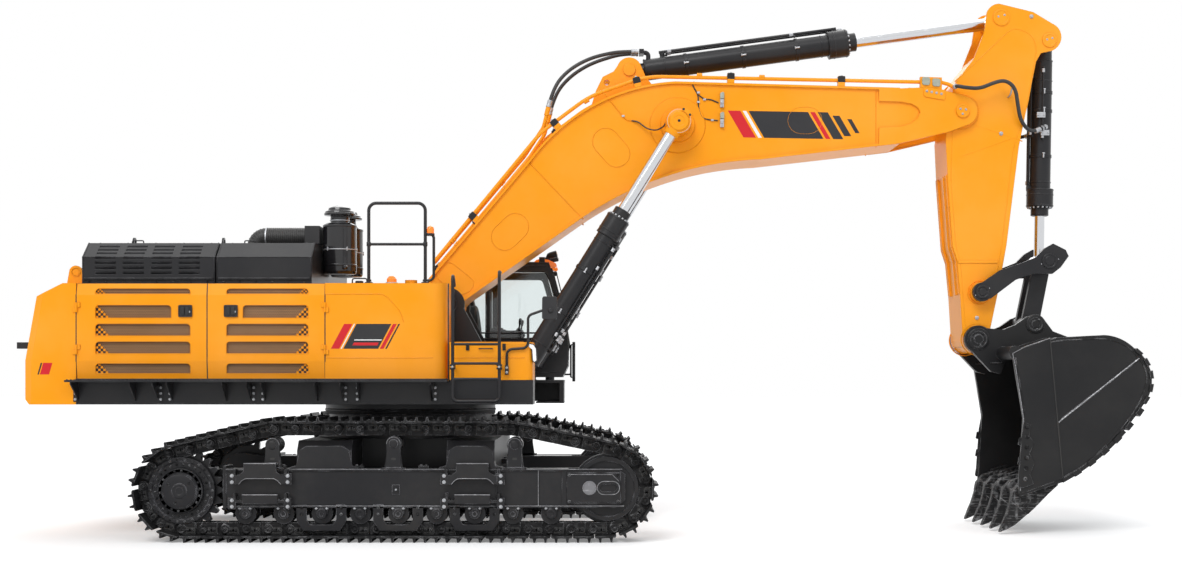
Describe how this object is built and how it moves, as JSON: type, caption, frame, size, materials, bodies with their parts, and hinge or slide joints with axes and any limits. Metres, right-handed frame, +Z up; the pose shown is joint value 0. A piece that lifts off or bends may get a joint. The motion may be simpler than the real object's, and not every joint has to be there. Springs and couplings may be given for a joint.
{
  "type": "crawler excavator",
  "caption": "Large tracked excavator with a backhoe bucket, a curved boom, a straight arm, side engine doors, a rounded counterweight and an offset glazed cab.",
  "frame": {"origin": "on the ground, under the swing axis", "axes": "+X to the front, towards the bucket; +Y to the machine's left, where the cab is; +Z up"},
  "size_m": [14.0523, 4.1, 6.752],
  "materials": {
    "yellow_paint": "satin",
    "dark_grey_paint": "satin",
    "black_paint": "satin",
    "worn_steel": "rough",
    "chrome": "polished",
    "tinted_glass": "clear",
    "rubber_hose": "matt",
    "seat_fabric": "woven"
  },
  "bodies": {
    "undercarriage": {"car_body": "dark_grey_paint", "track_frames": "dark_grey_paint", "track_right": "worn_steel", "track_left": "worn_steel", "sprockets": "dark_grey_paint", "idlers": "dark_grey_paint", "rollers": "dark_grey_paint", "slew_bearing": "dark_grey_paint"},
    "house": {"revolving_frame": "yellow_paint", "counterweight": "yellow_paint", "engine": "black_paint", "bay_frame": "yellow_paint", "hood_rear": "black_paint", "hood_front": "black_paint", "fuel_tank": "yellow_paint", "side_locker": "yellow_paint", "control_valves": "black_paint", "toolbox": "yellow_paint", "catwalks": "black_paint", "handrails": "black_paint", "mirrors": "black_paint", "air_cleaners": "black_paint", "intake_duct": "black_paint", "exhaust": "black_paint", "cab_shell": "black_paint", "cab_glass": "tinted_glass", "operator_seat": "seat_fabric"},
    "boom": {"boom": "yellow_paint", "boom_pipes": "yellow_paint", "arm_cylinder_hoses": "rubber_hose"},
    "arm": {"arm": "yellow_paint", "arm_hoses": "rubber_hose"},
    "bucket": {"bucket": "black_paint", "bucket_teeth": "black_paint"},
    "guide_links": {"guide_links": "black_paint"},
    "connecting_link": {"connecting_link": "black_paint"},
    "boom_cylinder_barrels": {"boom_cylinder_barrels": "yellow_paint"},
    "boom_cylinder_rods": {"boom_cylinder_rods": "chrome"},
    "arm_cylinder_barrel": {"arm_cylinder_barrel": "yellow_paint"},
    "arm_cylinder_rod": {"arm_cylinder_rod": "chrome"},
    "bucket_cylinder_barrel": {"bucket_cylinder_barrel": "yellow_paint"},
    "bucket_cylinder_rod": {"bucket_cylinder_rod": "chrome"},
    "door_right_rear": {"door_right_rear": "yellow_paint"},
    "door_right_front": {"door_right_front": "yellow_paint"},
    "door_left_rear": {"door_left_rear": "yellow_paint"},
    "door_left_front": {"door_left_front": "yellow_paint"},
    "cab_door": {"cab_door": "black_paint", "cab_door_glass": "tinted_glass"},
    "toolbox_lid": {"toolbox_lid": "yellow_paint"}
  },
  "joints": [
    {"name": "swing", "type": "hinge", "parent": "undercarriage", "child": "house", "pos_m": [0, 0, 1.56], "axis": [0, 0, 1], "continuous": true},
    {"name": "boom_lift", "type": "hinge", "parent": "house", "child": "boom", "pos_m": [0.526, 0, 2.891], "axis": [0, -1, 0], "range_deg": [-54, 35.5]},
    {"name": "arm_swing", "type": "hinge", "parent": "boom", "child": "arm", "pos_m": [7.101, 0, 5.363], "axis": [0, 1, 0], "range_deg": [-76, 22]},
    {"name": "bucket_curl", "type": "hinge", "parent": "arm", "child": "bucket", "pos_m": [7.298, 0, 2.445], "axis": [0, 1, 0], "range_deg": [-32, 112]},
    {"name": "guide_links_swing", "type": "hinge", "parent": "arm", "child": "guide_links", "pos_m": [7.333, 0, 3.044], "axis": [0, 1, 0], "range_deg": [-25.01, 87.41]},
    {"name": "connecting_link_swing", "type": "hinge", "parent": "bucket", "child": "connecting_link", "pos_m": [8.026, 0, 2.638], "axis": [0, -1, 0], "range_deg": [-22.45, 78.45]},
    {"name": "boom_cylinder_tilt", "type": "hinge", "parent": "house", "child": "boom_cylinder_barrels", "pos_m": [1.462, 0, 1.985], "axis": [0, -1, 0], "range_deg": [-52.97, 34.84]},
    {"name": "boom_cylinder_stroke", "type": "slide", "parent": "boom_cylinder_barrels", "child": "boom_cylinder_rods", "axis": [0.5291, 0, 0.8486], "range_m": [-1.1037, 0.7259]},
    {"name": "arm_cylinder_tilt", "type": "hinge", "parent": "boom", "child": "arm_cylinder_barrel", "pos_m": [2.843, 0, 5.936], "axis": [0, -1, 0], "range_deg": [-0.49, 1.57]},
    {"name": "arm_cylinder_stroke", "type": "slide", "parent": "arm_cylinder_barrel", "child": "arm_cylinder_rod", "axis": [0.9911, 0, 0.1329], "range_m": [-1.5662, 0.4541]},
    {"name": "bucket_cylinder_tilt", "type": "hinge", "parent": "arm", "child": "bucket_cylinder_barrel", "pos_m": [8.234, 0, 6.284], "axis": [0, 1, 0], "range_deg": [-0.43, 1.39]},
    {"name": "bucket_cylinder_stroke", "type": "slide", "parent": "bucket_cylinder_barrel", "child": "bucket_cylinder_rod", "axis": [-0.0162, 0, -0.9999], "range_m": [-0.3696, 1.2911]},
    {"name": "door_right_rear_hinge", "type": "hinge", "parent": "house", "child": "door_right_rear", "pos_m": [-3.859, -1.634, 2.5], "axis": [0, 0, -1], "range_deg": [0, 110]},
    {"name": "door_right_front_hinge", "type": "hinge", "parent": "house", "child": "door_right_front", "pos_m": [-0.861, -1.634, 2.5], "axis": [0, 0, 1], "range_deg": [0, 110]},
    {"name": "door_left_rear_hinge", "type": "hinge", "parent": "house", "child": "door_left_rear", "pos_m": [-3.859, 1.634, 2.5], "axis": [0, 0, 1], "range_deg": [0, 110]},
    {"name": "door_left_front_hinge", "type": "hinge", "parent": "house", "child": "door_left_front", "pos_m": [-0.861, 1.634, 2.5], "axis": [0, 0, -1], "range_deg": [0, 110]},
    {"name": "cab_door_hinge", "type": "hinge", "parent": "house", "child": "cab_door", "pos_m": [0.95, 1.914, 2.7], "axis": [0, 0, 1], "range_deg": [0, 160]},
    {"name": "toolbox_lid_hinge", "type": "hinge", "parent": "house", "child": "toolbox_lid", "pos_m": [1.1, -0.936, 2.345], "axis": [-1, 0, 0], "range_deg": [0, 80]}
  ],
  "couplings": [
    {"joint": "boom_cylinder_tilt", "follows": "boom_lift", "ratio": 0.98},
    {"joint": "boom_cylinder_stroke", "follows": "boom_lift", "m_per_rad": 1.17},
    {"joint": "arm_cylinder_tilt", "follows": "arm_swing", "ratio": -0.02},
    {"joint": "arm_cylinder_stroke", "follows": "arm_swing", "m_per_rad": 1.18},
    {"joint": "guide_links_swing", "follows": "bucket_curl", "ratio": 0.78},
    {"joint": "connecting_link_swing", "follows": "bucket_curl", "ratio": 0.7},
    {"joint": "bucket_cylinder_tilt", "follows": "bucket_curl", "ratio": 0.012},
    {"joint": "bucket_cylinder_stroke", "follows": "bucket_curl", "m_per_rad": 0.66}
  ]
}
